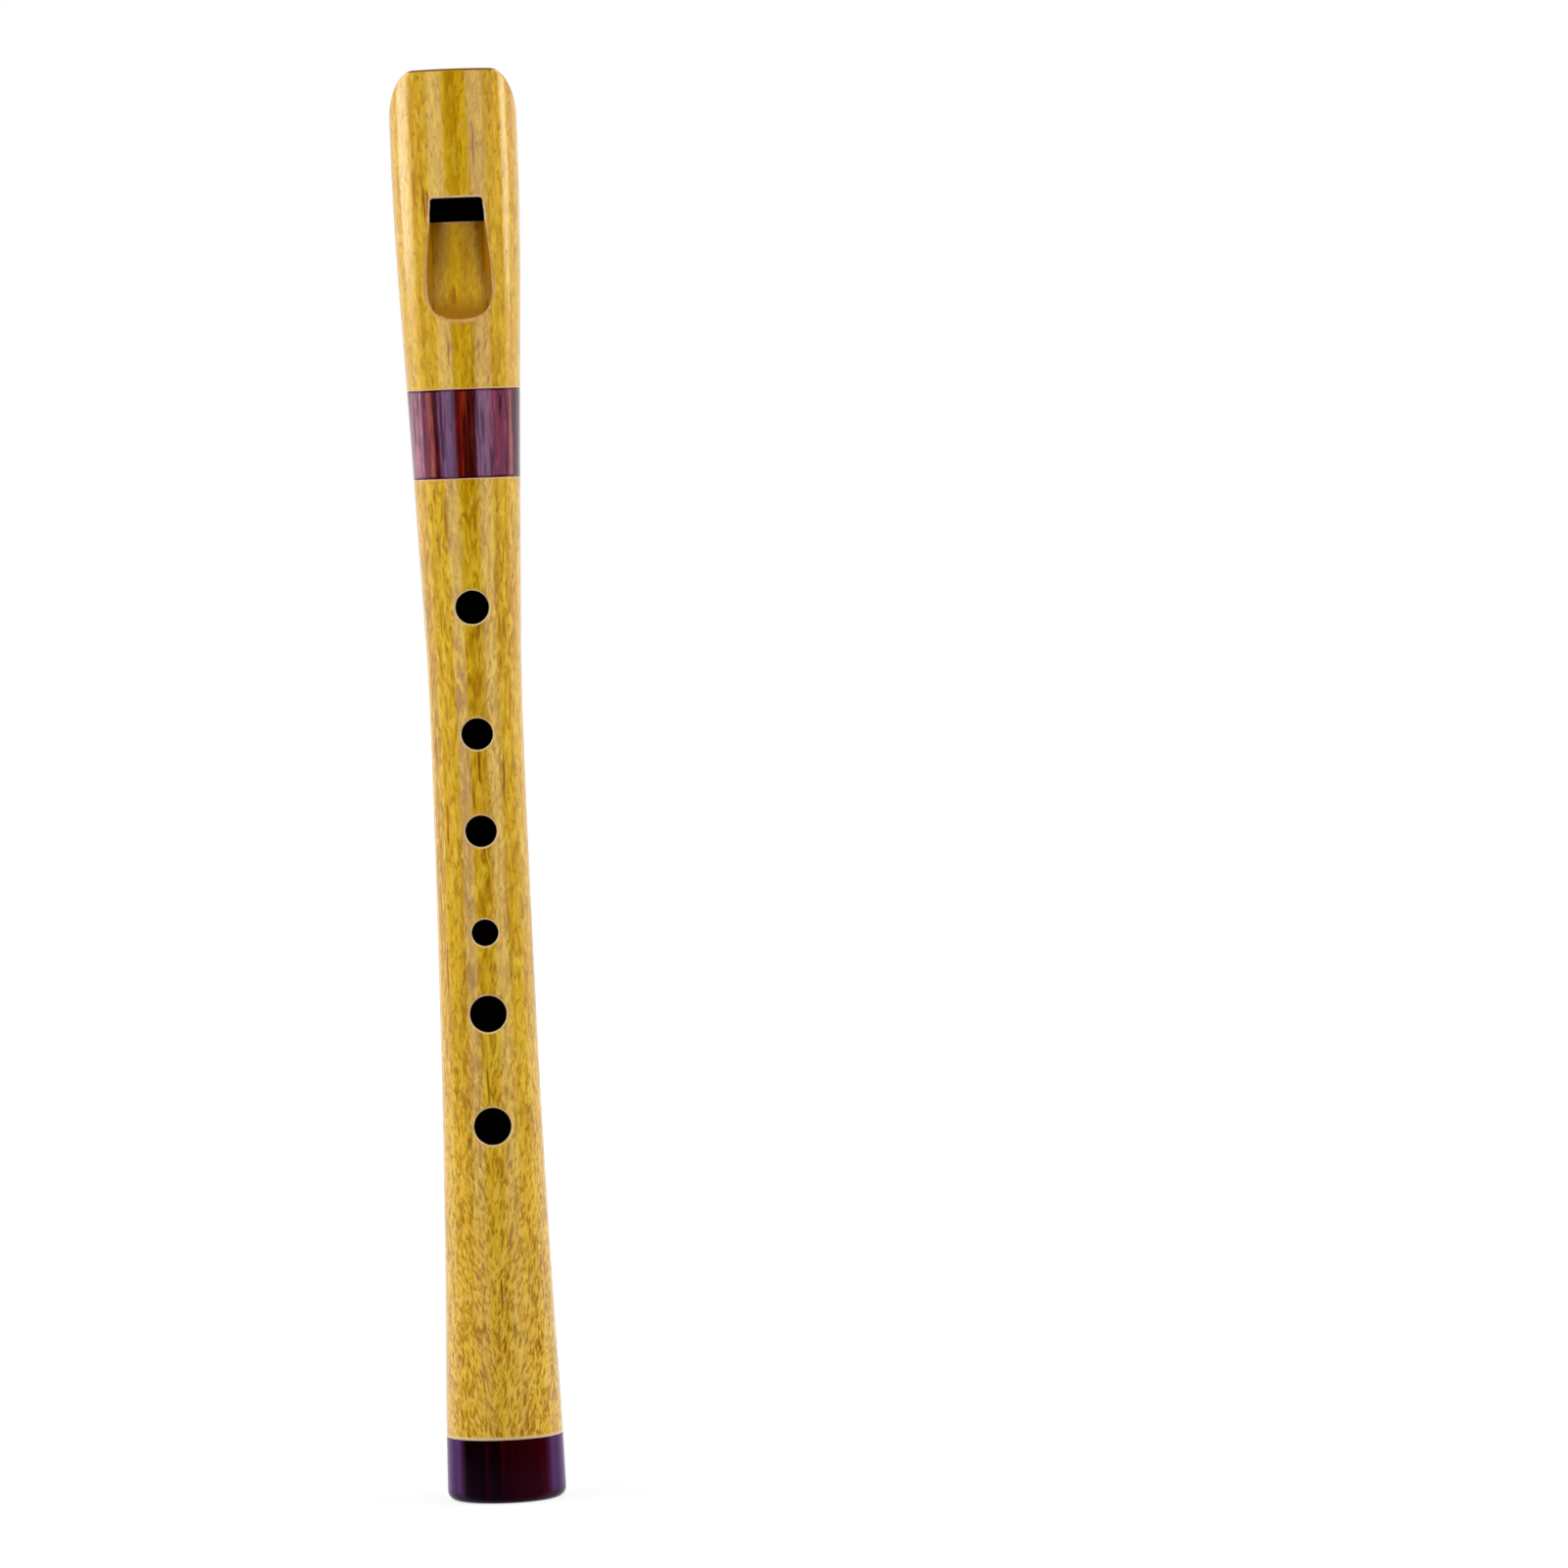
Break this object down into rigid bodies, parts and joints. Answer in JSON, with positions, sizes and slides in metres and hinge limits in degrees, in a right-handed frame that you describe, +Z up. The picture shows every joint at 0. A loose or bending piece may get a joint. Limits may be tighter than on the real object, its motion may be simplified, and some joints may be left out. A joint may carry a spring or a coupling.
{
  "type": "recorder",
  "caption": "Upright wooden recorder with a beaked head and block, a waisted body with finger, thumb and vent holes, and dark wood rings at the joint and the foot.",
  "frame": {"origin": "centre of the foot's resting face, on the bore's axis", "axes": "+Z up along the bore to the mouth end; the window and the finger holes face -Y, the thumb hole and the beak's cut face +Y"},
  "size_m": [0.0312, 0.0312, 0.35],
  "materials": {
    "body_wood": "gloss lacquer over golden figured wood",
    "ring_wood": "gloss lacquer over dark purple-red wood",
    "block_wood": "oiled red wood, satin",
    "cork": "matt cork"
  },
  "bodies": {
    "body": {"body_tube": "body_wood", "tenon_cork": "cork", "foot_ring": "ring_wood"},
    "head": {"head_tube": "body_wood", "socket_ring": "ring_wood"},
    "block": {"block": "block_wood"}
  },
  "joints": [
    {"name": "head_pull", "type": "slide", "parent": "body", "child": "head", "axis": [0, 0, 1], "range_m": [0, 0.03]},
    {"name": "block_slide", "type": "slide", "parent": "head", "child": "block", "axis": [0, 0, 1], "range_m": [0, 0.034]}
  ]
}
